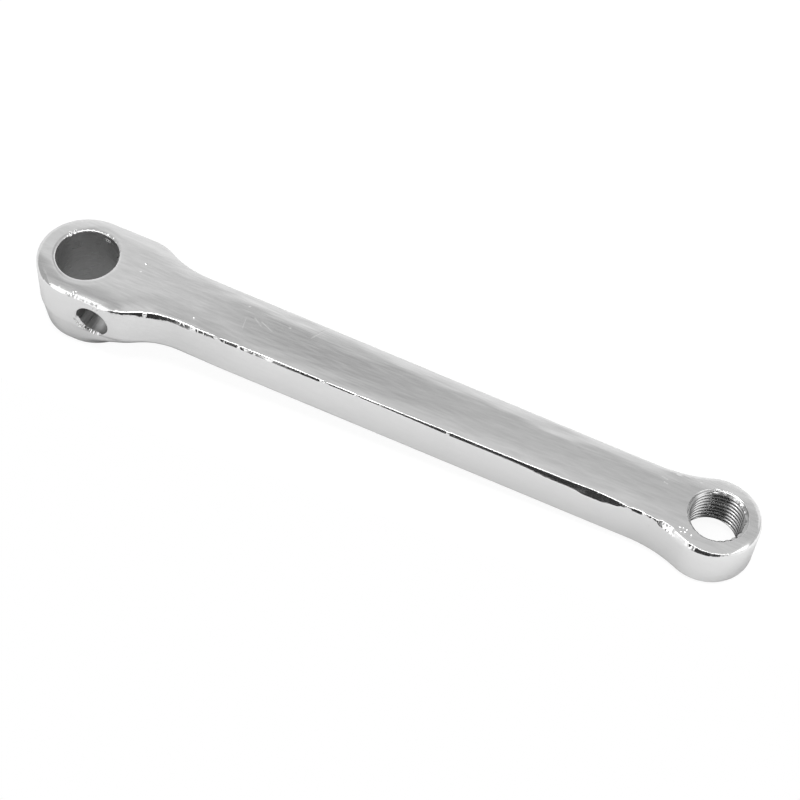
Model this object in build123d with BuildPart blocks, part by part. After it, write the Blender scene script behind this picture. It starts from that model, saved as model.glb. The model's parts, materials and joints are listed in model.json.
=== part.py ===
from build123d import *
from math import asin, atan2, degrees, hypot, sqrt
import os

os.makedirs("parts", exist_ok=True)

# Frame: the origin is on the spindle axis at the boss's inner face, +Z points outward along the
# spindle, +X points along the arm to the pedal axis. All sizes are in millimetres.
CRANK_LENGTH = 170.0
BOSS_HEIGHT = 21.0
ARM_THICKNESS = 13.1
ARM_UNDERSIDE = BOSS_HEIGHT - ARM_THICKNESS

# Outline seen from outside: a long boss, a tapering arm and a round eye, joined by hollow curves.
# The eye is forged a little short of the pedal axis.
BOSS_RADIUS = 13.0
BOSS_STRETCH = 12.3
BOSS_BLEND = 25.0
ARM_ROOT_HALF_WIDTH = 8.25
ARM_TIP_HALF_WIDTH = 7.55
EYE_BLEND = 32.0
EYE_RADIUS = 11.1
EYE_SHIFT = -0.5

# The boss below the arm: its walls draw in towards the inner face, and a hollow fairing runs
# out under the arm. Each level is a long round like the boss, with its own radius and stretch.
FOOT_RADIUS = 11.75
FOOT_STRETCH = 1.5
WAIST_HEIGHT = 5.0
WAIST_RADIUS = 12.45
WAIST_STRETCH = 7.0
FAIRING_HEIGHT = 11.5
FAIRING_RADIUS = 13.2
FAIRING_STRETCH = 24.0

# Edges and the slight crown across the outer face.
CROWN_RADIUS = 150.0
OUTER_EDGE = 1.2
INNER_EDGE = 1.8
FOOT_EDGE = 1.0

# Spindle bore, the cotter hole that crosses it, and the pedal thread at its major diameter.
SPINDLE_DIAMETER = 16.0
SPINDLE_CHAMFER = 0.3
COTTER_DIAMETER = 9.0
COTTER_OFFSET = 8.3
COTTER_HEIGHT = 12.6
THREAD_DIAMETER = 9 / 16 * 25.4
THREAD_OUTER_CHAMFER = 0.3
THREAD_INNER_CHAMFER = 0.8

# Centres of the hollow curves, and how far the arm's side leans in between them.
boss_blend_x = BOSS_STRETCH + sqrt((BOSS_RADIUS + BOSS_BLEND) ** 2 - (ARM_ROOT_HALF_WIDTH + BOSS_BLEND) ** 2)
boss_blend_y = ARM_ROOT_HALF_WIDTH + BOSS_BLEND
eye_x = CRANK_LENGTH + EYE_SHIFT
eye_blend_x = eye_x - sqrt((EYE_RADIUS + EYE_BLEND) ** 2 - (ARM_TIP_HALF_WIDTH + EYE_BLEND) ** 2)
eye_blend_y = ARM_TIP_HALF_WIDTH + EYE_BLEND
span = hypot(eye_blend_x - boss_blend_x, eye_blend_y - boss_blend_y)
rise = degrees(atan2(eye_blend_y - boss_blend_y, eye_blend_x - boss_blend_x))
lean = degrees(asin((EYE_BLEND - BOSS_BLEND) / span)) - rise
boss_turn = degrees(atan2(boss_blend_y, boss_blend_x - BOSS_STRETCH))
eye_turn = degrees(atan2(eye_blend_y, eye_blend_x - eye_x))

# The forging's outline at the arm's underside: one half drawn as tangent arcs and lines, then mirrored.
with BuildSketch(Plane.XY.offset(ARM_UNDERSIDE)) as outline:
    with BuildLine() as half:
        CenterArc((0, 0), BOSS_RADIUS, 90, 90)
        Line((0, BOSS_RADIUS), (BOSS_STRETCH, BOSS_RADIUS))
        CenterArc((BOSS_STRETCH, 0), BOSS_RADIUS, boss_turn, 90 - boss_turn)
        root = CenterArc((boss_blend_x, boss_blend_y), BOSS_BLEND, 180 + boss_turn, 90 - lean - boss_turn)
        tip = CenterArc((eye_blend_x, eye_blend_y), EYE_BLEND, 270 - lean, eye_turn - 90 + lean)
        Line(root @ 1, tip @ 0)
        CenterArc((eye_x, 0), EYE_RADIUS, 0, eye_turn)
        mirror(about=Plane.XZ)
    make_face()

# The boss below the arm: three levels joined smoothly, trimmed to the outline.
with BuildPart() as boss_foot:
    for height, radius, stretch in (
        (0, FOOT_RADIUS, FOOT_STRETCH),
        (WAIST_HEIGHT, WAIST_RADIUS, WAIST_STRETCH),
        (FAIRING_HEIGHT, FAIRING_RADIUS, FAIRING_STRETCH),
    ):
        with BuildSketch(Plane.XY.offset(height)):
            with Locations((stretch / 2, 0)):
                SlotCenterToCenter(stretch, 2 * radius)
    loft()
    extrude(outline.sketch, ARM_UNDERSIDE, both=True, mode=Mode.INTERSECT)
    fillet(boss_foot.faces().sort_by(Axis.Z)[0].edges(), FOOT_EDGE)

# The whole arm in one forged piece.
with BuildPart() as crank_arm:
    extrude(outline.sketch, ARM_THICKNESS)
    fillet(crank_arm.faces().sort_by(Axis.Z)[0].edges(), INNER_EDGE)
    add(boss_foot.part)

    # Crown across the outer face, and its rounded edge.
    with BuildSketch(Plane.YZ):
        with Locations((0, BOSS_HEIGHT - CROWN_RADIUS)):
            Circle(CROWN_RADIUS)
    extrude(amount=2 * CRANK_LENGTH, both=True, mode=Mode.INTERSECT)
    fillet(crank_arm.faces().sort_by(Axis.Z)[-1].edges(), OUTER_EDGE)

    # Spindle bore and pedal thread hole along Z, their rims broken, then the cotter hole along Y.
    with Locations((0, 0, BOSS_HEIGHT)):
        Hole(SPINDLE_DIAMETER / 2)
    chamfer(crank_arm.edges(Select.LAST).sort_by(Axis.Z)[-1], SPINDLE_CHAMFER)
    with Locations((CRANK_LENGTH, 0, BOSS_HEIGHT)):
        Hole(THREAD_DIAMETER / 2)
    thread_edges = crank_arm.edges(Select.LAST).sort_by(Axis.Z)
    chamfer(thread_edges[-1], THREAD_OUTER_CHAMFER)
    chamfer(thread_edges[0], THREAD_INNER_CHAMFER)
    with Locations(Plane((COTTER_OFFSET, 0, COTTER_HEIGHT), z_dir=(0, 1, 0))):
        Cylinder(COTTER_DIAMETER / 2, 4 * BOSS_RADIUS, mode=Mode.SUBTRACT)

crank_arm.part.label = "crank_arm"
export_step(crank_arm.part, "parts/crank_arm.step")
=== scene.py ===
import json
from itertools import product
from math import asin, atan2, cos, hypot, pi, radians, sin, sqrt

import bpy
import numpy as np
from mathutils import Matrix, Vector


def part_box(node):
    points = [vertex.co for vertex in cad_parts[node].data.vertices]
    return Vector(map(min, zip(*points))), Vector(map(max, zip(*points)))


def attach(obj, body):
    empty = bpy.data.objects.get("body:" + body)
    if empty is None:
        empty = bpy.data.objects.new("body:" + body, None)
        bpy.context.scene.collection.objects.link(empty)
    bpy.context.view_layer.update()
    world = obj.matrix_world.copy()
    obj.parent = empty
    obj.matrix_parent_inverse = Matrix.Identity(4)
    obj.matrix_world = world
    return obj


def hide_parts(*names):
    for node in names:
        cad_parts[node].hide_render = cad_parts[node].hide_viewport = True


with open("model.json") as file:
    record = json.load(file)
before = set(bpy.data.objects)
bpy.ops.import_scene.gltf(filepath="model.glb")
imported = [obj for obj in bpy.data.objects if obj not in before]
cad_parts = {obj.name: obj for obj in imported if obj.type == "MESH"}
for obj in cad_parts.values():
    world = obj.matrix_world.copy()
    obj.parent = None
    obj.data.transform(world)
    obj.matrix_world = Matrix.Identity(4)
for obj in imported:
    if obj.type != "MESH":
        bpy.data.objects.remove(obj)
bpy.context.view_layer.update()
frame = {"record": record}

# Sizes in millimetres. The holes and the overall size come from the frame. The outline and the boss's
# foot repeat the part's source.
MM = 0.001
mounts = {mount["name"]: mount for mount in frame["record"]["mounts"]}
_, box_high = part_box("crank_arm")
BOSS_HEIGHT = round(box_high[2] / MM, 2)
BOSS_RADIUS = round(box_high[1] / MM, 2)
CRANK_LENGTH = mounts["pedal_thread"]["pos_m"][0] / MM
SPINDLE_RADIUS = mounts["spindle_bore"]["dims"]["r_mm"]
COTTER_RADIUS = mounts["cotter_hole"]["dims"]["r_mm"]
COTTER_OFFSET = mounts["cotter_hole"]["pos_m"][0] / MM
COTTER_HEIGHT = mounts["cotter_hole"]["pos_m"][2] / MM
THREAD_RADIUS = mounts["pedal_thread"]["dims"]["r_mm"]

ARM_UNDERSIDE = 7.9
BOSS_STRETCH = 12.3
BOSS_BLEND = 25.0
ARM_ROOT_HALF_WIDTH = 8.25
ARM_TIP_HALF_WIDTH = 7.55
EYE_BLEND = 32.0
EYE_RADIUS = 11.1
EYE_SHIFT = -0.5
EYE_X = CRANK_LENGTH + EYE_SHIFT

# Levels of the boss below the arm: height, radius and stretch of a long round.
FOOT_HEIGHTS = (0.0, 5.0, 11.5)
FOOT_RADII = (11.75, 12.45, 13.2)
FOOT_STRETCHES = (1.5, 7.0, 24.0)
FAIRING_SOFTNESS = 0.8

# Where a value is a pair of places, a form comes in between them: from none at the first place to
# whole at the second. Places are along the arm, or across it where the name says side.
NEAR_SIDE = (0, -2)

# The outer face: a slight crown, a roll off towards the outline that is weaker at the eye, and a last
# dub along the near edge.
CROWN_RADIUS = 150.0
ROLL_WIDTH = 5.5
ROLL_DROP = 0.2
ROLL_LOSS_AT_EYE = 0.5
ROLL_FADE = (148, 160)
ROLL_OVERRUN = 1.2
DUB_WIDTH = 0.3
DUB_DROP = 0.035

# The polishing belt leaned over on the near side of the boss, and of the neck beside it.
BOSS_ROLL_WIDTH = 4.0
BOSS_ROLL_CURVE = 0.035
BOSS_ROLL_START = (18, 10)
BOSS_ROLL_SIDE = (-4, -8)
NECK_ROLL_WIDTH = 6.5
NECK_ROLL_SLOPE = 0.05
NECK_ROLL_SOFTNESS = 2
NECK_ROLL_START = (14, 24)
NECK_ROLL_END = (48, 35)

# A shallow dish runs round the spindle bore, narrower towards the boss's end.
SPINDLE_DISH_WIDTH = 2.4
SPINDLE_DISH_SLOPE = 0.25
SPINDLE_DISH_LOSS = 0.5
SPINDLE_DISH_FADE = (0, -6)
SPINDLE_DISH_OVERRUN = 1.3

# Slow waves from two passes of the belt, each with its slant and its random seed.
WAVE_HEIGHT = 0.025
WAVE_LENGTH = 6.0
BELT_PASSES = ((0.12, 11), (-0.2, 12))

# The near edge of the outer face was dressed on a grinder, which left a rough facet. Each table goes by
# the place along the arm: degrees of tilt, depth, roughness, and the radius of the edge beside the facet.
FACET_TILT = (
    (5, 42), (10, 56), (13, 60), (15, 72), (21, 74), (24, 76), (158, 76), (158.6, 66), (161.9, 66),
    (162.4, 80), (166.5, 80), (167.2, 72), (178, 70),
)
FACET_DEPTH = (
    (-5, -0.6), (-3.6, 0.0), (-3.3, 0.3), (-2.2, 0.44), (-1, 0.47), (0.5, 0.42), (2.5, 0.35),
    (2.8, 0.15), (3.4, 0.15), (3.7, 0.43), (5, 0.46), (8, 0.56), (10.5, 0.68), (11.5, 0.62),
    (12.5, 0.5), (13.5, 0.38), (14.5, 0.3), (16, 0.35), (18, 0.5), (21, 1.0), (21.6, 1.0),
    (21.9, 0.2), (22.3, 0.2), (22.6, 1.2), (25, 1.3), (26.5, 1.1), (29, 1.0), (31, 1.2), (34, 1.2),
    (36, 0.9), (41, 0.95), (41.5, 0.1), (42.4, 0.1), (43, 0.95), (47.5, 1.0), (48, 0.4),
    (48.6, 1.0), (51, 0.95), (51.3, 0.5), (51.6, 1.0), (55, 1.05), (57, 0.8), (63, 0.75), (70, 0.7),
    (70.5, 0.05), (72, 0.05), (72.6, 0.45), (79.4, 0.5), (79.8, 0.05), (80.4, 0.05), (81, 0.45),
    (90, 0.55), (96, 0.65), (100, 0.75), (103.7, 0.85), (103.9, 0.2), (104.3, 0.2), (104.6, 0.95),
    (113, 1.0), (119, 1.1), (125, 1.3), (129, 1.55), (134, 1.8), (137, 2.1), (139, 2.45),
    (141.5, 2.7), (143, 2.55), (145, 2.3), (147, 1.9), (148, 1.6), (149.2, 0.9), (150, 0.45),
    (150.4, 0.2), (151, 0.2), (151.4, 0.9), (153.5, 0.9), (154.2, 0.6), (154.5, 0.1), (155.2, 0.1),
    (155.5, 0.5), (156.3, 0.55), (156.5, 0.2), (156.8, 0.2), (157, 0.5), (157.9, 0.6), (158.3, 1.2),
    (160.5, 1.5), (161.9, 1.6), (162.4, 2.0), (166.3, 2.0), (166.6, 1.3), (167.2, 1.15),
    (168.4, 1.0), (169.5, 0.95), (170, 0.85), (171.9, 0.75), (172.1, 0.55), (172.4, 0.68),
    (174, 0.58), (174.2, 0.4), (174.5, 0.52), (175.6, 0.35), (176.3, 0.1), (178, -0.6),
)
FACET_ROUGHNESS = (
    (12, 0.011), (17, 0.02), (26, 0.03), (29, 0.05), (43, 0.05), (46, 0.03), (125, 0.03),
    (134, 0.06), (149, 0.06), (157, 0.05), (162, 0.05), (166, 0.03), (175, 0.03),
)
NEAR_EDGE_RADIUS = ((-6, 1.5), (-3.5, 0.15), (176, 0.15), (178, 1.3))

# The facet's own edges, how far it is lifted clear of the far side, and the grinder's strokes along it.
FACET_EDGE = 0.06
FACET_LIFT = 4
FACET_FAR_SIDE = (-3, 0)
FINE_STROKE = 0.7
BROAD_STROKE = 2.5
BROAD_STROKE_SHARE = 1.5
STROKE_SEEDS = (5, 6)

# Marks of use. Pits in the outer face: place along and across the arm, and radius. Scratches there: their
# two ends. Chips out of the edges and the face: place and radius.
PIT_STEEPNESS = 3.0
PITS = (
    (163.2, -7.5, 0.35), (164.0, -7.2, 0.3), (164.7, -8.2, 0.35), (164.9, -7.4, 0.25),
    (166.3, -8.3, 0.35), (163.8, -8.4, 0.25), (44.2, 4.3, 0.3), (33.8, -5.6, 0.3), (56.2, 2.8, 0.3),
    (163.4, 7.1, 0.3),
)
SCRATCH_WIDTH = 0.13
SCRATCHES = (
    ((47.1, 1.5), (49.6, 0.0)), ((49.2, 1.2), (52.7, -0.2)), ((62.4, 2.5), (64.1, 6.3)),
    ((45.8, -2.8), (45.1, 0.5)), ((154.4, 4.3), (155.9, 4.1)), ((155.4, 2.9), (156.4, 2.8)),
)
CHIPS = (
    (3.0, -12.6, 20.3, 0.35), (3.4, -12.1, 20.35, 0.4), (3.7, -11.6, 20.4, 0.3),
    (1.9, -13.1, 19.8, 0.3), (2.4, -13.1, 19.4, 0.3), (9.2, -13.1, 18.2, 0.25),
    (10.4, -13.1, 18.1, 0.25), (-7.3, 3.8, 21.0, 0.7), (-6.6, 5.0, 21.0, 0.65),
    (1.2, 8.2, 20.9, 0.55), (3.0, 7.8, 20.9, 0.4), (0.8, 8.1, 18.7, 0.55), (1.5, 8.0, 18.55, 0.5),
    (3.2, -13.0, 10.8, 0.35), (3.8, -13.0, 9.9, 0.4), (4.6, -13.0, 8.9, 0.4),
    (5.6, -13.0, 8.2, 0.4), (41.9, -8.2, 20.5, 0.45), (71.2, -8.0, 20.5, 0.4),
    (156.2, -8.0, 17.2, 0.3), (157.3, -8.25, 17.4, 0.3), (14.6, 4.1, 21.05, 0.42),
    (14.9, 1.2, 21.1, 0.3),
)

# Edges. The inner edge's radius goes by the place along the arm. The outer edge is soft on the far side
# and softer round both ends.
PLATING_INSET = 0.03
INNER_EDGE_RADIUS = ((6, 0.3), (15, 1.8), (28, 1.8), (42, 1.2))
FAR_EDGE_RADIUS = 1.0
END_EDGE_EXTRA = 0.3
BOSS_END = (30, 14)
EYE_END = (150, 165)
CRISP_SIDE = (-2.0, -6.5)
FOOT_EDGE = 1.0

# Rims of the holes, worn unevenly: the spindle bore's on the far side, the cotter hole's low on the near
# side and the thread's all round. Waves are in millimetres round the rim. The spindle rim has a far and a
# near radius, and the spread of the cotter rim's wear is in cosines of the angle from its middle.
SPINDLE_RIM_EDGES = (0.2, 0.45)
SPINDLE_RIM_SIDE = (-5, 4)
SPINDLE_RIM_WORN = 0.2
SPINDLE_RIM_WORN_LEVEL = 0.2
SPINDLE_RIM_WAVE = 1.6
SPINDLE_RIM_SEED = 8
COTTER_RIM_EDGE = 0.2
COTTER_RIM_TILT = radians(40)
COTTER_RIM_WORN = 0.65
COTTER_RIM_TOWARDS = radians(-118)
COTTER_RIM_SPREAD = (0.35, 0.75)
COTTER_RIM_UNEVEN = 0.12
COTTER_RIM_WAVE = 1.5
COTTER_RIM_SEED = 9
THREAD_RIM_EDGE = 0.2
THREAD_RIM_UNEVEN = 0.25
THREAD_RIM_WAVE = 1.5
THREAD_RIM_SEED = 10
THREAD_INNER_CHAMFER = 1.5

# The pedal thread, 20 turns to the inch, is a sleeve set a hair into the eye's wall. Its flats are shares
# of the pitch.
THREAD_PITCH = 25.4 / 20
THREAD_DEPTH = 1.0825 / 2 * THREAD_PITCH
ROOT_FLAT = 1 / 8
CREST_FLAT = 1 / 4
FLANK_ROUNDING = 0.3
THREAD_START = 0.25
THREAD_LEAD = 1.7
THREAD_LEAD_UNEVEN = 0.35
THREAD_SEGMENTS = 160
THREAD_STEPS = 16
SLEEVE_GAP = 0.1
SLEEVE_RADIUS = THREAD_RADIUS + SLEEVE_GAP

# An uneven line is a sum of waves with lengths spread about the one asked for.
RIPPLE_WAVES = 7
RIPPLE_SPREAD = (0.5, 1.8)
RIPPLE_LEVEL = 4
FAR_AWAY = 1e6


def outline_pieces():
    """The outline's far half as tangent arcs (centre, radius, start, turn, side) and lines."""
    boss_x = BOSS_STRETCH + sqrt((BOSS_RADIUS + BOSS_BLEND) ** 2 - (ARM_ROOT_HALF_WIDTH + BOSS_BLEND) ** 2)
    boss_y = ARM_ROOT_HALF_WIDTH + BOSS_BLEND
    tip_x = EYE_X - sqrt((EYE_RADIUS + EYE_BLEND) ** 2 - (ARM_TIP_HALF_WIDTH + EYE_BLEND) ** 2)
    tip_y = ARM_TIP_HALF_WIDTH + EYE_BLEND
    span = hypot(tip_x - boss_x, tip_y - boss_y)
    rise = atan2(tip_y - boss_y, tip_x - boss_x)
    lean = asin((EYE_BLEND - BOSS_BLEND) / span) - rise
    boss_turn = atan2(boss_y, boss_x - BOSS_STRETCH)
    eye_turn = atan2(tip_y, tip_x - EYE_X)
    arcs = (
        ((0, 0), BOSS_RADIUS, pi / 2, pi / 2, 1),
        ((BOSS_STRETCH, 0), BOSS_RADIUS, boss_turn, pi / 2 - boss_turn, 1),
        ((boss_x, boss_y), BOSS_BLEND, pi + boss_turn, pi / 2 - lean - boss_turn, -1),
        ((tip_x, tip_y), EYE_BLEND, 3 * pi / 2 - lean, eye_turn - pi / 2 + lean, -1),
        ((EYE_X, 0), EYE_RADIUS, 0, eye_turn, 1),
    )
    down = (-sin(lean), -cos(lean))
    lines = (
        ((0, BOSS_RADIUS), (BOSS_STRETCH, BOSS_RADIUS)),
        (
            (boss_x + BOSS_BLEND * down[0], boss_y + BOSS_BLEND * down[1]),
            (tip_x + EYE_BLEND * down[0], tip_y + EYE_BLEND * down[1]),
        ),
    )
    return arcs, lines


OUTLINE_ARCS, OUTLINE_LINES = outline_pieces()


def outline_distance(x, y):
    """Signed distance from the forging's outline seen from outside, negative inside it."""
    y = np.abs(y)
    best = np.full(np.shape(x), FAR_AWAY)
    hair = 1e-5
    for (cx, cy), radius, start, turn, side in OUTLINE_ARCS:
        swing = (np.arctan2(y - cy, x - cx) - start + hair) % (2 * pi)
        signed = side * (np.hypot(x - cx, y - cy) - radius)
        best = np.where((swing <= turn + 2 * hair) & (np.abs(signed) < np.abs(best)), signed, best)
    for (x0, y0), (x1, y1) in OUTLINE_LINES:
        length = hypot(x1 - x0, y1 - y0)
        ux, uy = (x1 - x0) / length, (y1 - y0) / length
        along = (x - x0) * ux + (y - y0) * uy
        signed = (y - y0) * ux - (x - x0) * uy
        on_line = (along > -hair) & (along < length + hair)
        best = np.where(on_line & (np.abs(signed) < np.abs(best)), signed, best)
    return best


def rounded_both(a, b, radius):
    """Inside both shapes, with the edge where they meet rounded."""
    past_both = np.hypot(np.maximum(a + radius, 0), np.maximum(b + radius, 0))
    return np.minimum(np.maximum(a, b), -radius) + past_both


def softened_either(a, b, width):
    """Inside either shape, with the hollow where they meet filled softly."""
    share = np.clip(0.5 + 0.5 * (b - a) / width, 0, 1)
    return b * (1 - share) + a * share - width * share * (1 - share)


def ease(low, high, value):
    """Goes smoothly from 0 at low to 1 at high."""
    t = np.clip((value - low) / (high - low), 0, 1)
    return t * t * (3 - 2 * t)


def through_levels(values, z):
    """The curve of second order through the three foot levels."""
    total = 0
    for i, value in enumerate(values):
        term = value
        for j, height in enumerate(FOOT_HEIGHTS):
            if j != i:
                term = term * (z - height) / (FOOT_HEIGHTS[i] - height)
        total = total + term
    return total


def boss_foot(x, y, z):
    """Distance from the boss's walls below the arm, which draw in towards the inner face."""
    z = np.clip(z, FOOT_HEIGHTS[0], FOOT_HEIGHTS[-1])
    radius = through_levels(FOOT_RADII, z)
    stretch = through_levels(FOOT_STRETCHES, z)
    over = x - np.clip(x, 0, stretch)
    reach = np.hypot(over, y)
    hair = 0.01
    radius_slope = (through_levels(FOOT_RADII, z + hair) - radius) / hair
    stretch_slope = (through_levels(FOOT_STRETCHES, z + hair) - stretch) / hair
    forward = np.where(over > 0, over / np.maximum(reach, hair), 0)
    return (reach - radius) / np.sqrt(1 + (radius_slope + stretch_slope * forward) ** 2)


def outer_face(x, y, inset):
    """Height of the outer face, with the inset measured inwards from the outline."""
    roll = np.clip(1 - inset / ROLL_WIDTH, 0, ROLL_OVERRUN) * (1 - ROLL_LOSS_AT_EYE * ease(*ROLL_FADE, x))
    past_facet = inset - np.maximum(facet_depth(x), 0) / np.tan(facet_tilt(x))
    dub = np.clip(1 - past_facet / DUB_WIDTH, 0, ROLL_OVERRUN) * ease(*NEAR_SIDE, y)
    first, second = (ripple(y + slant * x, WAVE_LENGTH, seed) for slant, seed in BELT_PASSES)
    wave = 0.5 * first + 0.5 * second - 1
    dish_width = SPINDLE_DISH_WIDTH * (1 - SPINDLE_DISH_LOSS * ease(*SPINDLE_DISH_FADE, x))
    dish = np.clip(1 - (np.hypot(x, y) - SPINDLE_RADIUS) / dish_width, 0, SPINDLE_DISH_OVERRUN)
    drop = y**2 / (2 * CROWN_RADIUS) + ROLL_DROP * roll**2 + DUB_DROP * dub**2 + near_roll(x, y, inset)
    drop = drop + SPINDLE_DISH_SLOPE * dish_width / 2 * dish**2
    return BOSS_HEIGHT - drop + WAVE_HEIGHT * wave


def near_roll(x, y, inset):
    """How much further the outer face rolls off on the near side of the boss and the neck."""
    boss = np.maximum(BOSS_ROLL_WIDTH - inset, 0)
    neck = np.maximum(NECK_ROLL_WIDTH - inset, 0)
    boss_drop = BOSS_ROLL_CURVE / 2 * boss**2 * ease(*BOSS_ROLL_START, x) * ease(*BOSS_ROLL_SIDE, y)
    neck_drop = NECK_ROLL_SLOPE * neck**2 / (neck + NECK_ROLL_SOFTNESS)
    neck_drop = neck_drop * ease(*NECK_ROLL_START, x) * ease(*NECK_ROLL_END, x) * ease(*NEAR_SIDE, y)
    return boss_drop + neck_drop


def ripple(x, length, seed):
    """A smooth uneven line between about -1 and 1, with waves about as long as given."""
    waves = np.random.default_rng(seed)
    total = 0
    for _ in range(RIPPLE_WAVES):
        wave_length = length * waves.uniform(*RIPPLE_SPREAD)
        total = total + np.sin(2 * pi * x / wave_length + waves.uniform(0, 2 * pi))
    return total / RIPPLE_LEVEL


def along_edge(stations, x):
    """A value between stations given by their place along the arm."""
    places, values = zip(*stations)
    return np.interp(x, places, values)


def outer_edge_radius(x, y):
    """Radius of the outer face's edge: mostly crisp on the near side, soft elsewhere."""
    near = ease(*CRISP_SIDE, y)
    ends = np.maximum(ease(*BOSS_END, x), ease(*EYE_END, x))
    far_radius = FAR_EDGE_RADIUS + END_EDGE_EXTRA * ends
    return far_radius * (1 - near) + along_edge(NEAR_EDGE_RADIUS, x) * near


def facet_tilt(x):
    """Tilt of the facet along the near edge, in radians."""
    return np.radians(along_edge(FACET_TILT, x))


def facet_depth(x):
    """Depth of the facet along the near edge, uneven from the grinder's strokes."""
    fine = ripple(x, FINE_STROKE, STROKE_SEEDS[0])
    broad = ripple(x, BROAD_STROKE, STROKE_SEEDS[1])
    strokes = fine + BROAD_STROKE_SHARE * broad
    return along_edge(FACET_DEPTH, x) + along_edge(FACET_ROUGHNESS, x) * strokes


def ground_facet(x, y, z, outline):
    """Distance from the facet that a grinder left on the near edge, negative below it."""
    edge_height = BOSS_HEIGHT - ROLL_DROP - y**2 / (2 * CROWN_RADIUS) - near_roll(x, y, 0)
    far_side = FACET_LIFT * ease(*FACET_FAR_SIDE, y)
    tilt = facet_tilt(x)
    return np.sin(tilt) * outline + np.cos(tilt) * (z - edge_height + facet_depth(x) - far_side)


def worn_marks(x, y, z, above):
    """How deep points lie in the pits, scratches and chips, from their height above the outer face."""
    deepest = np.full(np.shape(x), -FAR_AWAY)
    for px, py, radius in PITS:
        reach = np.hypot(x - px, y - py)
        deepest = np.maximum(deepest, dent(reach, above, radius))
    for (x0, y0), (x1, y1) in SCRATCHES:
        length = hypot(x1 - x0, y1 - y0)
        ux, uy = (x1 - x0) / length, (y1 - y0) / length
        along = np.clip((x - x0) * ux + (y - y0) * uy, 0, length)
        reach = np.hypot(x - x0 - along * ux, y - y0 - along * uy)
        deepest = np.maximum(deepest, dent(reach, above, SCRATCH_WIDTH))
    for px, py, pz, radius in CHIPS:
        deepest = np.maximum(deepest, radius - np.sqrt((x - px) ** 2 + (y - py) ** 2 + (z - pz) ** 2))
    return deepest


def dent(reach, above, radius):
    """How deep points lie in a shallow round dent of the outer face, by their distance from its middle."""
    ball = PIT_STEEPNESS * radius
    return ball - np.hypot(reach, above - sqrt(ball**2 - radius**2))


def forging(x, y, z):
    """Distance from the whole forging's surface, negative in the steel."""
    outline = outline_distance(x, y) + PLATING_INSET
    under = softened_either(ARM_UNDERSIDE - z, boss_foot(x, y, z), FAIRING_SOFTNESS)
    steel = rounded_both(outline, under, along_edge(INNER_EDGE_RADIUS, x))
    steel = rounded_both(steel, -z, FOOT_EDGE)
    above = z - outer_face(x, y, -outline)
    steel = rounded_both(steel, above, outer_edge_radius(x, y))
    steel = rounded_both(steel, ground_facet(x, y, z, outline), FACET_EDGE)

    wall = steel
    around = np.arctan2(y, x) * SPINDLE_RADIUS
    far = ease(*SPINDLE_RIM_SIDE, y)
    rim = SPINDLE_RIM_EDGES[0] * far + SPINDLE_RIM_EDGES[1] * (1 - far)
    rough = ripple(around, SPINDLE_RIM_WAVE, SPINDLE_RIM_SEED)
    rim = rim + SPINDLE_RIM_WORN * far * np.maximum(SPINDLE_RIM_WORN_LEVEL + rough, 0)
    steel = rounded_both(steel, SPINDLE_RADIUS - np.hypot(x, y), rim)

    eye_reach = np.hypot(x - CRANK_LENGTH, y)
    around = np.arctan2(y, x - CRANK_LENGTH) * THREAD_RADIUS
    uneven = 1 + THREAD_RIM_UNEVEN * ripple(around, THREAD_RIM_WAVE, THREAD_RIM_SEED)
    steel = rounded_both(steel, SLEEVE_RADIUS - eye_reach, THREAD_RIM_EDGE * uneven)
    under_cone = THREAD_RADIUS + THREAD_INNER_CHAMFER - (z - ARM_UNDERSIDE) - eye_reach
    steel = np.maximum(steel, under_cone / sqrt(2))

    side = x - COTTER_OFFSET
    lift = z - COTTER_HEIGHT
    cotter_reach = np.hypot(side, lift)
    steel = rounded_both(steel, COTTER_RADIUS - cotter_reach, COTTER_RIM_EDGE)
    swing = np.arctan2(lift, side)
    rough = ripple(swing * COTTER_RADIUS, COTTER_RIM_WAVE, COTTER_RIM_SEED)
    worn_side = ease(*COTTER_RIM_SPREAD, np.cos(swing - COTTER_RIM_TOWARDS))
    worn = COTTER_RIM_WORN * worn_side * (1 + COTTER_RIM_UNEVEN * rough)
    flare = (COTTER_RADIUS + worn - cotter_reach) * cos(COTTER_RIM_TILT) + wall * sin(COTTER_RIM_TILT)
    steel = np.maximum(steel, np.where(y < 0, flare, -1))
    return np.maximum(steel, worn_marks(x, y, z, above))


# Mesh from the distance field: a grid in millimetres, split where the surface turns by more than an angle
# and near the marks of use.
GRID_STEP = 0.8
FINEST_TURN = radians(15)
REFINE_ROUNDS = 3
MARK_STEP = 0.15
DIFFERENCE = 0.004
LEAST_STEEPNESS = 0.05


def field_slope(points):
    """Gradient of the forging's distance field."""
    slope = np.empty_like(points)
    for axis in range(3):
        shift = np.zeros(3)
        shift[axis] = DIFFERENCE
        slope[:, axis] = forging(*(points + shift).T) - forging(*(points - shift).T)
    return slope / (2 * DIFFERENCE)


def onto_surface(points, rounds, longest):
    """Moves points along the slope onto the surface, at most a given length in each round."""
    for _ in range(rounds):
        slope = field_slope(points)
        steepness = np.maximum((slope**2).sum(1, keepdims=True), LEAST_STEEPNESS)
        move = -forging(*points.T)[:, None] * slope / steepness
        length = np.linalg.norm(move, axis=1, keepdims=True)
        points = points + move * np.minimum(1, longest / np.maximum(length, 1e-9))
    return points


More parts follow.
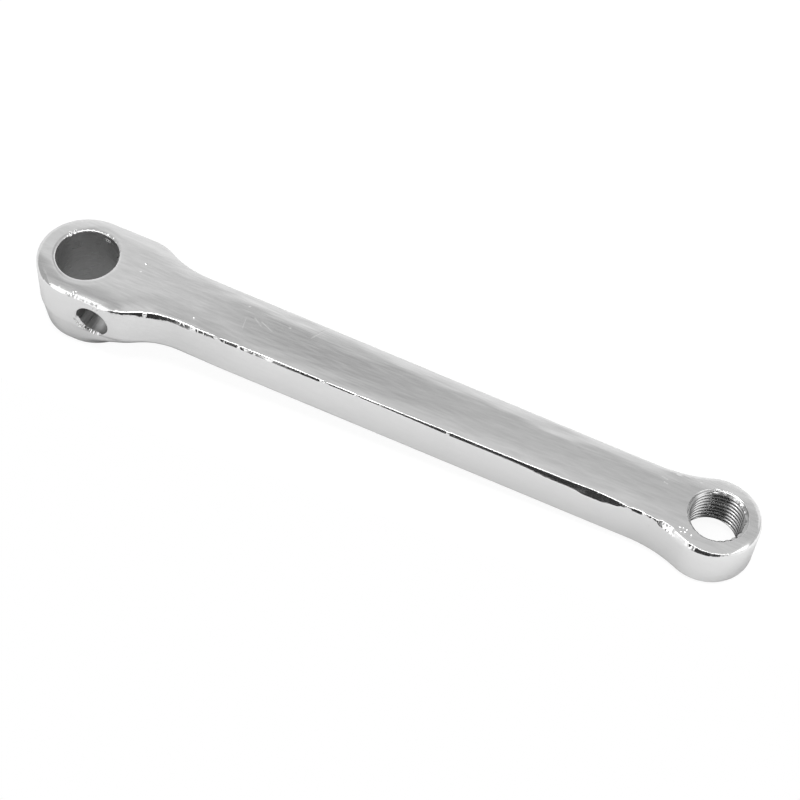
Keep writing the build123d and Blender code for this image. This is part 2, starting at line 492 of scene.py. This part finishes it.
def surface_net(low, high, step):
    """Points and triangles on the field's zero surface: one point in each grid cell that it crosses."""
    axes = [np.arange(a - 1.5 * step, b + 2 * step, step) for a, b in zip(low, high)]
    grid = np.meshgrid(*axes, indexing="ij")
    value = forging(*[g.ravel() for g in grid]).reshape(grid[0].shape)
    inside = value < 0
    cells = tuple(n - 1 for n in value.shape)

    def corner(array, offset):
        return array[tuple(slice(o, o + n) for o, n in zip(offset, cells))]

    filled = sum(corner(inside, offset).astype(int) for offset in product((0, 1), repeat=3))
    crossed = (filled > 0) & (filled < 8)
    number = np.full(cells, -1)
    number[crossed] = np.arange(crossed.sum())
    total = np.zeros((crossed.sum(), 3))
    count = np.zeros(crossed.sum())
    quads = []
    cell_at = np.argwhere(crossed)
    for axis in range(3):
        first, second = (axis + 1) % 3, (axis + 2) % 3
        ahead = np.roll(value, -1, axis)
        change = inside != np.roll(inside, -1, axis)
        change[tuple(slice(-1, None) if a == axis else slice(None) for a in range(3))] = False
        share = np.where(change, value / np.where(change, value - ahead, 1), 0)
        for u, v in product((0, 1), repeat=2):
            offset = np.zeros(3, int)
            offset[first], offset[second] = u, v
            at = tuple((cell_at + offset).T)
            hit = change[at]
            place = (cell_at + offset).astype(float)
            place[:, axis] += share[at]
            total[hit] += place[hit]
            count[hit] += 1
        edges = np.argwhere(change)
        corners = []
        for u, v in ((-1, -1), (0, -1), (0, 0), (-1, 0)):
            offset = np.zeros(3, int)
            offset[first], offset[second] = u, v
            corners.append(number[tuple((edges + offset).T)])
        quad = np.stack(corners, 1)
        leaving = inside[tuple(edges.T)]
        quads.append(np.where(leaving[:, None], quad, quad[:, ::-1]))
    points = total / count[:, None] * step + [a[0] for a in axes]
    quads = np.concatenate(quads)
    points = onto_surface(points, rounds=2, longest=0.5 * step)
    across = np.linalg.norm(points[quads[:, 0]] - points[quads[:, 2]], axis=1)
    other = np.linalg.norm(points[quads[:, 1]] - points[quads[:, 3]], axis=1)
    turned = np.where((across <= other)[:, None], quads, np.roll(quads, -1, 1))
    return points, np.concatenate([turned[:, [0, 1, 2]], turned[:, [0, 2, 3]]])


def split_triangles(triangles, chosen):
    """Splits the chosen triangles in four and their neighbours to match. Gives the split edges too."""
    sides = np.stack([triangles[:, [0, 1]], triangles[:, [1, 2]], triangles[:, [2, 0]]], 1)
    sides = np.sort(sides, axis=2)
    size = triangles.max() + 1
    keys = sides[:, :, 0] * size + sides[:, :, 1]
    marked = np.unique(keys[chosen])
    at = np.searchsorted(marked, keys).clip(0, len(marked) - 1)
    is_split = marked[at] == keys
    middle = np.where(is_split, size + at, -1)
    cuts = is_split.sum(1)
    result = [triangles[cuts == 0]]
    for turn in range(3):
        a, b, c = np.roll(triangles, -turn, 1).T
        ab, bc, ca = np.roll(middle, -turn, 1).T
        one = (cuts == 1) & (ab >= 0)
        result += [np.stack([a, ab, c], 1)[one], np.stack([ab, b, c], 1)[one]]
        two = (cuts == 2) & (ca < 0)
        for trio in ((ab, b, bc), (a, ab, bc), (a, bc, c)):
            result.append(np.stack(trio, 1)[two])
    a, b, c = triangles[cuts == 3].T
    ab, bc, ca = middle[cuts == 3].T
    for trio in ((a, ab, ca), (ab, b, bc), (ca, bc, c), (ab, bc, ca)):
        result.append(np.stack(trio, 1))
    return np.concatenate(result), np.stack([marked // size, marked % size], 1)


def unit(vectors):
    """Each vector at length one."""
    return vectors / np.maximum(np.linalg.norm(vectors, axis=1, keepdims=True), 1e-12)


def by_a_mark(at, margin):
    """True for points that lie in a worn mark, or outside it by less than the margin."""
    x, y, z = at.T
    above = z - outer_face(x, y, -outline_distance(x, y))
    return worn_marks(x, y, z, above) > -margin


def forged_surface():
    """Points, triangles and normals of the forging, finer where it turns sharply."""
    points, triangles = surface_net(
        (-BOSS_RADIUS, -BOSS_RADIUS, 0), (EYE_X + EYE_RADIUS, BOSS_RADIUS, BOSS_HEIGHT), GRID_STEP
    )
    for _ in range(REFINE_ROUNDS):
        normals = unit(field_slope(points))
        corners = normals[triangles]
        turn = np.min([(corners[:, i] * corners[:, i - 1]).sum(1) for i in range(3)], axis=0)
        sides = [points[triangles[:, i]] - points[triangles[:, i - 1]] for i in range(3)]
        longest = np.max([np.linalg.norm(side, axis=1) for side in sides], axis=0)
        sharp = turn < cos(FINEST_TURN)
        marked = by_a_mark(points[triangles].mean(1), longest) & (longest > MARK_STEP)
        triangles, ends = split_triangles(triangles, sharp | marked)
        added = onto_surface(points[ends].mean(1), rounds=2, longest=0.3 * GRID_STEP)
        points = np.concatenate([points, added])
    return points, triangles, unit(field_slope(points))


def mesh_piece(name, points, triangles, normals=None):
    """A mesh object from points in millimetres."""
    mesh = bpy.data.meshes.new(name)
    mesh.from_pydata((points * MM).tolist(), [], triangles.tolist())
    mesh.polygons.foreach_set("use_smooth", np.ones(len(triangles), bool))
    if normals is not None:
        mesh.normals_split_custom_set_from_vertices(normals.tolist())
    mesh.update()
    piece = bpy.data.objects.new(name, mesh)
    bpy.context.scene.collection.objects.link(piece)
    return piece


def linear(hex_colour):
    """An sRGB hex colour as linear RGBA."""
    channels = [int(hex_colour[i : i + 2], 16) / 255 for i in (1, 3, 5)]
    return (*[c / 12.92 if c <= 0.04045 else ((c + 0.055) / 1.055) ** 2.4 for c in channels], 1.0)


def add_node(tree, kind, inputs=None, **settings):
    """Adds a node, with its settings, and its inputs as values or as links from other nodes' outputs."""
    made = tree.nodes.new(kind)
    for name, value in settings.items():
        setattr(made, name, value)
    for name, value in (inputs or {}).items():
        if isinstance(value, bpy.types.NodeSocket):
            tree.links.new(value, made.inputs[name])
        else:
            made.inputs[name].default_value = value
    return made


def new_material(name):
    """An empty material and its node tree."""
    material = bpy.data.materials.new(name)
    material.use_nodes = True
    material.node_tree.nodes.clear()
    return material, material.node_tree


def per_metre(x_mm, y_mm, z_mm):
    """Texture scale for a pattern with these sizes along the three axes."""
    return (1 / (x_mm * MM), 1 / (y_mm * MM), 1 / (z_mm * MM))


# Sizes of the plating's patterns in millimetres, along the arm, across it and in height. The real
# polishing lines are a few hundredths wide: they are drawn coarser, so that they show.
POLISHING_LINE = (7, 0.35, 0.35)
HAZE_STREAK = (5, 0.7, 0.7)
POLISHING_LINE_DEPTH = 0.013
PLATE_ROUGHNESS = (0.08, 0.2)

# The values between which most of a noise lies.
NOISE_LOW = 0.3
NOISE_HIGH = 0.7

# How strongly the belt's marks show: whole on the outer face past the boss, less by the spindle bore,
# towards the eye and on the walls. Places are in millimetres, along the arm and in height.
MARKS_WHOLE_AT = 30
MARKS_LESS_FROM = 80
MARKS_BY_BORE = 0.45
MARKS_TOWARDS_EYE = 0.6
MARKS_ON_WALLS = 0.35
WALL_TOP = 19
FACE_START = 20


def polished_chrome():
    """Chrome plate over a forging polished on a belt: a bright mirror that fine lines and streaks of haze
    along the arm make a little soft, most on the outer face beyond the boss and least on the walls."""
    material, tree = new_material("polished_chrome_plate")
    place = add_node(tree, "ShaderNodeTexCoord").outputs["Object"]
    line_place = add_node(tree, "ShaderNodeMapping", {"Vector": place, "Scale": per_metre(*POLISHING_LINE)})
    lines = add_node(
        tree, "ShaderNodeTexNoise", {"Vector": line_place.outputs["Vector"], "Scale": 1.0, "Detail": 3.0}
    )
    streak_place = add_node(tree, "ShaderNodeMapping", {"Vector": place, "Scale": per_metre(*HAZE_STREAK)})
    streaks = add_node(
        tree, "ShaderNodeTexNoise", {"Vector": streak_place.outputs["Vector"], "Scale": 1.0, "Detail": 5.0}
    )
    parts = add_node(tree, "ShaderNodeSeparateXYZ", {"Vector": place}).outputs
    towards_eye = add_node(
        tree,
        "ShaderNodeMapRange",
        {
            "Value": parts["X"],
            "From Min": MARKS_WHOLE_AT * MM,
            "From Max": MARKS_LESS_FROM * MM,
            "To Min": 1.0,
            "To Max": MARKS_TOWARDS_EYE,
        },
    )
    past_boss = add_node(
        tree,
        "ShaderNodeMapRange",
        {
            "Value": parts["X"],
            "From Min": 0.0,
            "From Max": MARKS_WHOLE_AT * MM,
            "To Min": MARKS_BY_BORE,
            "To Max": 1.0,
        },
    )
    on_face = add_node(
        tree,
        "ShaderNodeMapRange",
        {
            "Value": parts["Z"],
            "From Min": WALL_TOP * MM,
            "From Max": FACE_START * MM,
            "To Min": MARKS_ON_WALLS,
            "To Max": 1.0,
        },
    )
    along_arm = add_node(
        tree,
        "ShaderNodeMath",
        {0: towards_eye.outputs["Result"], 1: past_boss.outputs["Result"]},
        operation="MULTIPLY",
    )
    worked = add_node(
        tree,
        "ShaderNodeMath",
        {0: along_arm.outputs["Value"], 1: on_face.outputs["Result"]},
        operation="MULTIPLY",
    )
    uneven = add_node(
        tree,
        "ShaderNodeMix",
        {"Factor": worked.outputs["Value"], "A": 0.5, "B": streaks.outputs["Fac"]},
        data_type="FLOAT",
    )
    haze = add_node(
        tree,
        "ShaderNodeMix",
        {"Factor": uneven.outputs["Result"], "A": linear("#CCCCCC"), "B": linear("#F5F5F5")},
        data_type="RGBA",
    )
    roughness = add_node(
        tree,
        "ShaderNodeMapRange",
        {
            "Value": lines.outputs["Fac"],
            "From Min": NOISE_LOW,
            "From Max": NOISE_HIGH,
            "To Min": PLATE_ROUGHNESS[0],
            "To Max": PLATE_ROUGHNESS[1],
        },
    )
    bump = add_node(
        tree,
        "ShaderNodeBump",
        {
            "Height": lines.outputs["Fac"],
            "Strength": worked.outputs["Value"],
            "Distance": POLISHING_LINE_DEPTH * MM,
        },
    )
    shader = add_node(
        tree,
        "ShaderNodeBsdfPrincipled",
        {
            "Base Color": haze.outputs["Result"],
            "Metallic": 1.0,
            "Roughness": roughness.outputs["Result"],
            "Normal": bump.outputs["Normal"],
        },
    )
    add_node(tree, "ShaderNodeOutputMaterial", {"Surface": shader.outputs["BSDF"]})
    return material


# How deep the tool's rings in the bores are, in millimetres, and how much they spread the roughness.
RING_DEPTH = 0.02
RING_ROUGHNESS = 0.2


def bore_steel(name, dark, light, ring_sizes, least_rough):
    """Steel of a bore cut after forging, which plating hardly reaches: greyer and duller than the plate,
    with the tool's rings round its axis. The real rings are finer: they are drawn coarser, so that they
    show."""
    material, tree = new_material(name)
    place = add_node(tree, "ShaderNodeTexCoord").outputs["Object"]
    ring_place = add_node(tree, "ShaderNodeMapping", {"Vector": place, "Scale": per_metre(*ring_sizes)})
    rings = add_node(
        tree, "ShaderNodeTexNoise", {"Vector": ring_place.outputs["Vector"], "Scale": 1.0, "Detail": 3.0}
    )
    roughness = add_node(
        tree,
        "ShaderNodeMapRange",
        {
            "Value": rings.outputs["Fac"],
            "From Min": NOISE_LOW,
            "From Max": NOISE_HIGH,
            "To Min": least_rough,
            "To Max": least_rough + RING_ROUGHNESS,
        },
    )
    shade = add_node(
        tree,
        "ShaderNodeMix",
        {"Factor": rings.outputs["Fac"], "A": linear(dark), "B": linear(light)},
        data_type="RGBA",
    )
    bump = add_node(
        tree,
        "ShaderNodeBump",
        {"Height": rings.outputs["Fac"], "Strength": 1.0, "Distance": RING_DEPTH * MM},
    )
    shader = add_node(
        tree,
        "ShaderNodeBsdfPrincipled",
        {
            "Base Color": shade.outputs["Result"],
            "Metallic": 1.0,
            "Roughness": roughness.outputs["Result"],
            "Normal": bump.outputs["Normal"],
        },
    )
    add_node(tree, "ShaderNodeOutputMaterial", {"Surface": shader.outputs["BSDF"]})
    return material


# A face belongs to a bore where its middle lies this near the bore's wall, in millimetres.
BORE_MARGIN = 0.05


def bore_at(at):
    """The bore that each point lies on: 0 for none, 1 for the spindle bore, 2 for the cotter hole."""
    spindle = np.hypot(at[:, 0], at[:, 1]) < SPINDLE_RADIUS + BORE_MARGIN
    cotter_reach = np.hypot(at[:, 0] - COTTER_OFFSET, at[:, 2] - COTTER_HEIGHT)
    cotter = cotter_reach < COTTER_RADIUS + BORE_MARGIN
    return np.where(spindle, 1, np.where(cotter, 2, 0))


def pedal_thread_surface():
    """Points and triangles of a closed sleeve in the eye whose inside is the cut left-hand thread."""
    turn = np.linspace(0, 2 * pi, THREAD_SEGMENTS, endpoint=False)
    rim_x = CRANK_LENGTH + SLEEVE_RADIUS * np.cos(turn)
    rim_y = SLEEVE_RADIUS * np.sin(turn)
    face = outer_face(rim_x, rim_y, -outline_distance(rim_x, rim_y))
    bottom = ARM_UNDERSIDE + THREAD_INNER_CHAMFER - SLEEVE_GAP
    top = face - THREAD_START
    rows = int(THREAD_STEPS * (BOSS_HEIGHT - ARM_UNDERSIDE) / THREAD_PITCH)
    height = bottom + (top - bottom) * np.linspace(0, 1, rows)[:, None]
    phase = (height / THREAD_PITCH + turn / (2 * pi)) % 1
    crest = np.clip((np.abs(2 * phase - 1) - ROOT_FLAT) / (1 - ROOT_FLAT - CREST_FLAT), 0, 1)
    flank = (1 - FLANK_ROUNDING) * crest + FLANK_ROUNDING * ease(0, 1, crest)
    wall = THREAD_RADIUS - THREAD_DEPTH * flank
    uneven = ripple(turn * THREAD_RADIUS, THREAD_RIM_WAVE, THREAD_RIM_SEED)
    lead = THREAD_LEAD * (1 + THREAD_LEAD_UNEVEN * uneven)
    wall = np.maximum(wall, SLEEVE_RADIUS - lead * (top - height))
    wall = np.maximum(wall, THREAD_RADIUS + THREAD_INNER_CHAMFER - (height - ARM_UNDERSIDE))
    outside = np.full((2, THREAD_SEGMENTS), SLEEVE_RADIUS + SLEEVE_GAP)
    radius = np.concatenate([wall, outside])
    level = np.concatenate([height, height[[-1, 0]]])
    across = CRANK_LENGTH + radius * np.cos(turn)
    points = np.stack([across, radius * np.sin(turn), level], 2).reshape(-1, 3)
    count = len(radius)
    ring, step = np.meshgrid(np.arange(count), np.arange(THREAD_SEGMENTS), indexing="ij")
    a = (ring * THREAD_SEGMENTS + step).ravel()
    b = (ring * THREAD_SEGMENTS + (step + 1) % THREAD_SEGMENTS).ravel()
    c = ((ring + 1) % count * THREAD_SEGMENTS + (step + 1) % THREAD_SEGMENTS).ravel()
    d = ((ring + 1) % count * THREAD_SEGMENTS + step).ravel()
    return points, np.concatenate([np.stack([a, c, b], 1), np.stack([a, d, c], 1)])


# The materials. A bore's steel has its dark and light shade, the sizes of its rings along the three axes
# in millimetres, and its least roughness.
chrome = polished_chrome()
reamed = bore_steel("reamed_steel", "#BCBCBC", "#E2E2E2", (4, 4, 0.3), 0.25)
drilled = bore_steel("drilled_steel", "#9C9C9C", "#E4E4E4", (0.4, 6, 0.4), 0.25)
threaded = bore_steel("cut_thread_steel", "#989898", "#DADADA", (4, 4, 1.0), 0.1)

# The forging, with its bores in their own steel.
points, triangles, normals = forged_surface()
forging_piece = mesh_piece("plated_forging", points, triangles, normals)
for material in (chrome, reamed, drilled):
    forging_piece.data.materials.append(material)
bore_numbers = bore_at(points[triangles].mean(1)).astype(np.int32)
forging_piece.data.polygons.foreach_set("material_index", bore_numbers)
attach(forging_piece, "root")
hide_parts("crank_arm")

# The pedal thread.
thread_points, thread_triangles = pedal_thread_surface()
thread_piece = mesh_piece("pedal_thread_turns", thread_points, thread_triangles)
thread_piece.data.materials.append(threaded)
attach(thread_piece, "root")


# The floor in metres: how far it reaches, and its front edge, past which the plating mirrors the studio
# behind the camera. It slopes a little, because the arm rests on the boss's foot and the eye.
FLOOR_REACH = 1.5
FLOOR_FRONT = -0.030
FLOOR_FRONT_SLANT = 0.04
STEEPEST_FLOOR = 0.2
SLOPE_HALVINGS = 40

# How much of the floor's white is its own and how much is lit, seen directly and mirrored in the plating.
# The mirrored floor's colour carries painted shade: darker on the left, by the boss, and a painted shadow
# close under the arm.
FLOOR_GLOW_SEEN = 0.93
FLOOR_MATT_SEEN = 0.1
FLOOR_GLOW_MIRRORED = 0.05
FLOOR_MATT_MIRRORED = 0.94
FLOOR_PAINTED_SHADE_LEFT = 0.8
FLOOR_LEFT_END = -0.02
FLOOR_RIGHT_START = 0.05
FLOOR_SHADE = 0.2
FLOOR_SHADE_REACH = 0.025


def resting_slope(points):
    """Slope and height of the floor that the arm rests on, touching the boss's foot and the eye."""
    low = 0.0
    high = STEEPEST_FLOOR
    boss = points[points[:, 0] < CRANK_LENGTH / 2]
    eye = points[points[:, 0] > CRANK_LENGTH / 2]
    for _ in range(SLOPE_HALVINGS):
        slope = (low + high) / 2
        boss_low = (boss[:, 2] - slope * boss[:, 0]).min()
        eye_low = (eye[:, 2] - slope * eye[:, 0]).min()
        if eye_low > boss_low:
            low = slope
        else:
            high = slope
    return slope, boss_low


def studio_floor(points):
    """Matt white paper that shows as white with the arm's soft shadow, and is not seen from below. Mirrored
    in the plating, its colour carries painted shade, darker to the left and a painted shadow under the arm.
    """
    slope, height = resting_slope(points)
    left = -FLOOR_REACH
    right = FLOOR_REACH
    front_left, front_right = (FLOOR_FRONT + FLOOR_FRONT_SLANT * x for x in (left, right))
    corners = ((left, front_left), (right, front_right), (right, FLOOR_REACH), (left, FLOOR_REACH))
    mesh = bpy.data.meshes.new("floor")
    mesh.from_pydata([(x, y, slope * x + height * MM) for x, y in corners], [], [(0, 1, 2, 3)])
    floor = bpy.data.objects.new("floor", mesh)
    bpy.context.scene.collection.objects.link(floor)
    material, tree = new_material("white_paper_floor")
    path = add_node(tree, "ShaderNodeLightPath").outputs
    to_camera = add_node(
        tree, "ShaderNodeMath", {0: path["Is Camera Ray"], 1: FLOOR_GLOW_SEEN}, operation="MULTIPLY"
    )
    to_metal = add_node(
        tree, "ShaderNodeMath", {0: path["Is Glossy Ray"], 1: FLOOR_GLOW_MIRRORED}, operation="MULTIPLY"
    )
    strength = add_node(
        tree,
        "ShaderNodeMath",
        {0: to_camera.outputs["Value"], 1: to_metal.outputs["Value"]},
        operation="ADD",
    )
    # Painted shadow: ambient occlusion darkens the mirrored floor's colour close under the arm.
    painted_shadow_mask = add_node(tree, "ShaderNodeAmbientOcclusion", {"Distance": FLOOR_SHADE_REACH}, samples=8)
    place = add_node(tree, "ShaderNodeTexCoord").outputs["Object"]
    # Painted shade: the mirrored floor's colour is darker to the left, by the boss.
    painted_falloff = add_node(
        tree,
        "ShaderNodeMapRange",
        {
            "Value": add_node(tree, "ShaderNodeSeparateXYZ", {"Vector": place}).outputs["X"],
            "From Min": FLOOR_LEFT_END,
            "From Max": FLOOR_RIGHT_START,
            "To Min": FLOOR_PAINTED_SHADE_LEFT,
            "To Max": FLOOR_MATT_MIRRORED,
        },
    )
    shaded = add_node(
        tree,
        "ShaderNodeMapRange",
        {"Value": painted_shadow_mask.outputs["AO"], "To Min": FLOOR_SHADE, "To Max": painted_falloff.outputs["Result"]},
    )
    tint = add_node(
        tree,
        "ShaderNodeMix",
        {"Factor": path["Is Camera Ray"], "A": shaded.outputs["Result"], "B": FLOOR_MATT_SEEN},
        data_type="FLOAT",
    )
    matt = add_node(tree, "ShaderNodeBsdfDiffuse", {"Color": tint.outputs["Result"]})
    glow = add_node(
        tree, "ShaderNodeEmission", {"Color": (1, 1, 1, 1), "Strength": strength.outputs["Value"]}
    )
    paper = add_node(tree, "ShaderNodeAddShader", {0: matt.outputs["BSDF"], 1: glow.outputs["Emission"]})
    clear = add_node(tree, "ShaderNodeBsdfTransparent")
    behind = add_node(tree, "ShaderNodeNewGeometry").outputs["Backfacing"]
    sided = add_node(
        tree, "ShaderNodeMixShader", {0: behind, 1: paper.outputs["Shader"], 2: clear.outputs["BSDF"]}
    )
    add_node(tree, "ShaderNodeOutputMaterial", {"Surface": sided.outputs["Shader"]})
    mesh.materials.append(material)


# Brightness of the studio in five parts from left to right. Each goes by degrees from the far horizon over
# the top and down to the floor in front of the arm. The two over the arm share the dark behind the camera.
STUDIO_SPAN = 270
STUDIO_LEFT = ((0, 0.9), (54, 0.95), (64, 0.7), (72, 0.52), (90, 0.48), (270, 0.5))
STUDIO_OVER_BOSS = (
    (0, 0.95), (38, 0.95), (42, 0.9), (47, 0.73), (50, 0.73), (54, 0.76), (58, 0.81), (60, 0.78),
    (62, 0.71), (66, 0.58), (70, 0.51), (76, 0.5), (80, 0.6), (92, 0.9), (98, 1.5), (270, 1.5),
)
STUDIO_BEHIND_CAMERA = (
    (80, 0.78), (92, 0.5), (104, 0.05), (112, 0.03), (141, 0.03), (151, 0.4), (156, 0.45), (188, 0.45),
    (196, 0.035), (222, 0.035), (232, 0.3), (270, 0.3),
)
STUDIO_OVER_ROOT = (
    (0, 0.95), (38, 0.95), (44, 0.92), (46.8, 0.76), (49.7, 0.52), (52.6, 0.48), (54.5, 0.46), (56.4, 0.47),
    (59.3, 0.51), (62, 0.55), (65, 0.64), (70, 0.75), *STUDIO_BEHIND_CAMERA,
)
STUDIO_OVER_TIP = (
    (0, 0.95), (38, 0.95), (42, 0.94), (44, 0.88), (46.8, 0.76), (49.7, 0.51), (52.6, 0.575), (55, 0.6),
    (59.3, 0.65), (65, 0.72), (70, 0.77), *STUDIO_BEHIND_CAMERA,
)
STUDIO_RIGHT = ((0, 0.7), (54, 0.62), (70, 0.7), (85, 1.8), (130, 1.8), (150, 1.0), (180, 0.8), (270, 0.8))
STUDIO_PARTS = (STUDIO_LEFT, STUDIO_OVER_BOSS, STUDIO_OVER_ROOT, STUDIO_OVER_TIP, STUDIO_RIGHT)

# Sideways angles, in degrees, over which each part goes over into the next.
STUDIO_SEAMS = ((-47, -33), (-19.6, -17.4), (-14, -9), (29, 38))

# The strip softbox over the arm, in metres.
SOFTBOX_PLACE = (0.09, -0.06, 0.72)
SOFTBOX_SIZE = (0.62, 0.2)
SOFTBOX_LIGHT = 7.0


def studio_light():
    """A tent of white cloth with a strip softbox overhead, open to a dark room behind the camera."""
    world = bpy.data.worlds.new("studio")
    world.use_nodes = True
    tree = world.node_tree
    tree.nodes.clear()
    direction = add_node(tree, "ShaderNodeTexCoord").outputs["Generated"]
    parts = add_node(tree, "ShaderNodeSeparateXYZ", {"Vector": direction}).outputs
    angle = add_node(tree, "ShaderNodeMath", {0: parts["Z"], 1: parts["Y"]}, operation="ARCTAN2")
    turn = add_node(
        tree,
        "ShaderNodeMath",
        {0: angle.outputs["Value"], 1: radians(STUDIO_SPAN), 2: radians(STUDIO_SPAN - 360)},
        operation="WRAP",
    )
    share = add_node(
        tree, "ShaderNodeMath", {0: turn.outputs["Value"], 1: radians(STUDIO_SPAN)}, operation="DIVIDE"
    )
    sideways = add_node(tree, "ShaderNodeMath", {0: parts["X"]}, operation="ARCSINE")
    cloth = None
    for stops, seam in zip(STUDIO_PARTS, (None, *STUDIO_SEAMS)):
        ramp = add_node(tree, "ShaderNodeValToRGB", {"Fac": share.outputs["Value"]})
        elements = ramp.color_ramp.elements
        for degree, light in stops:
            if degree == 0:
                stop = elements[0]
            elif degree == STUDIO_SPAN:
                stop = elements[len(elements) - 1]
            else:
                stop = elements.new(degree / STUDIO_SPAN)
            stop.color = (light, light, light, 1)
        if seam is None:
            cloth = ramp.outputs["Color"]
            continue
        over = add_node(
            tree,
            "ShaderNodeMapRange",
            {
                "Value": sideways.outputs["Value"],
                "From Min": radians(seam[0]),
                "From Max": radians(seam[1]),
            },
            interpolation_type="SMOOTHSTEP",
        )
        joined = add_node(
            tree,
            "ShaderNodeMixRGB",
            {"Fac": over.outputs["Result"], "Color1": cloth, "Color2": ramp.outputs["Color"]},
        )
        cloth = joined.outputs["Color"]
    tent = add_node(tree, "ShaderNodeBackground", {"Color": cloth, "Strength": 1.0})
    white = add_node(tree, "ShaderNodeBackground", {"Color": (1, 1, 1, 1), "Strength": 1.0})
    seen = add_node(tree, "ShaderNodeLightPath").outputs["Is Camera Ray"]
    backdrop = add_node(
        tree,
        "ShaderNodeMixShader",
        {0: seen, 1: tent.outputs["Background"], 2: white.outputs["Background"]},
    )
    add_node(tree, "ShaderNodeOutputWorld", {"Surface": backdrop.outputs["Shader"]})
    bpy.context.scene.world = world
    lamp = bpy.data.lights.new("strip_softbox", "AREA")
    lamp.shape = "RECTANGLE"
    lamp.size, lamp.size_y = SOFTBOX_SIZE
    lamp.energy = SOFTBOX_LIGHT * pi * SOFTBOX_SIZE[0] * SOFTBOX_SIZE[1]
    softbox = bpy.data.objects.new("strip_softbox", lamp)
    softbox.location = SOFTBOX_PLACE
    bpy.context.scene.collection.objects.link(softbox)


studio_floor(points)
studio_light()

# Camera at the photograph's viewing angle: metres, and millimetres for the lens and the sensor.
CAMERA_PLACE = (0.18686, -0.25631, 0.38053)
CAMERA_ELEVATION = radians(53.12)
CAMERA_AZIMUTH = radians(21.07)
CAMERA_ROLL = radians(5.47)
CAMERA_LENS = 83.905
CAMERA_SENSOR = 36
CAMERA_NEAR = 0.01

back = Vector((
    sin(CAMERA_AZIMUTH) * cos(CAMERA_ELEVATION),
    -cos(CAMERA_AZIMUTH) * cos(CAMERA_ELEVATION),
    sin(CAMERA_ELEVATION),
))
level = (-back).cross(Vector((0, 0, 1))).normalized()
upward = level.cross(-back)
right = level * cos(CAMERA_ROLL) + upward * sin(CAMERA_ROLL)
up = upward * cos(CAMERA_ROLL) - level * sin(CAMERA_ROLL)
camera_data = bpy.data.cameras.new("photo_camera")
camera_data.lens = CAMERA_LENS
camera_data.sensor_width = CAMERA_SENSOR
camera_data.clip_start = CAMERA_NEAR
camera = bpy.data.objects.new("photo_camera", camera_data)
camera.matrix_world = Matrix((right, up, back)).transposed().to_4x4()
camera.matrix_world.translation = CAMERA_PLACE
bpy.context.scene.collection.objects.link(camera)
bpy.context.scene.camera = camera
bpy.context.scene.view_settings.view_transform = "Standard"
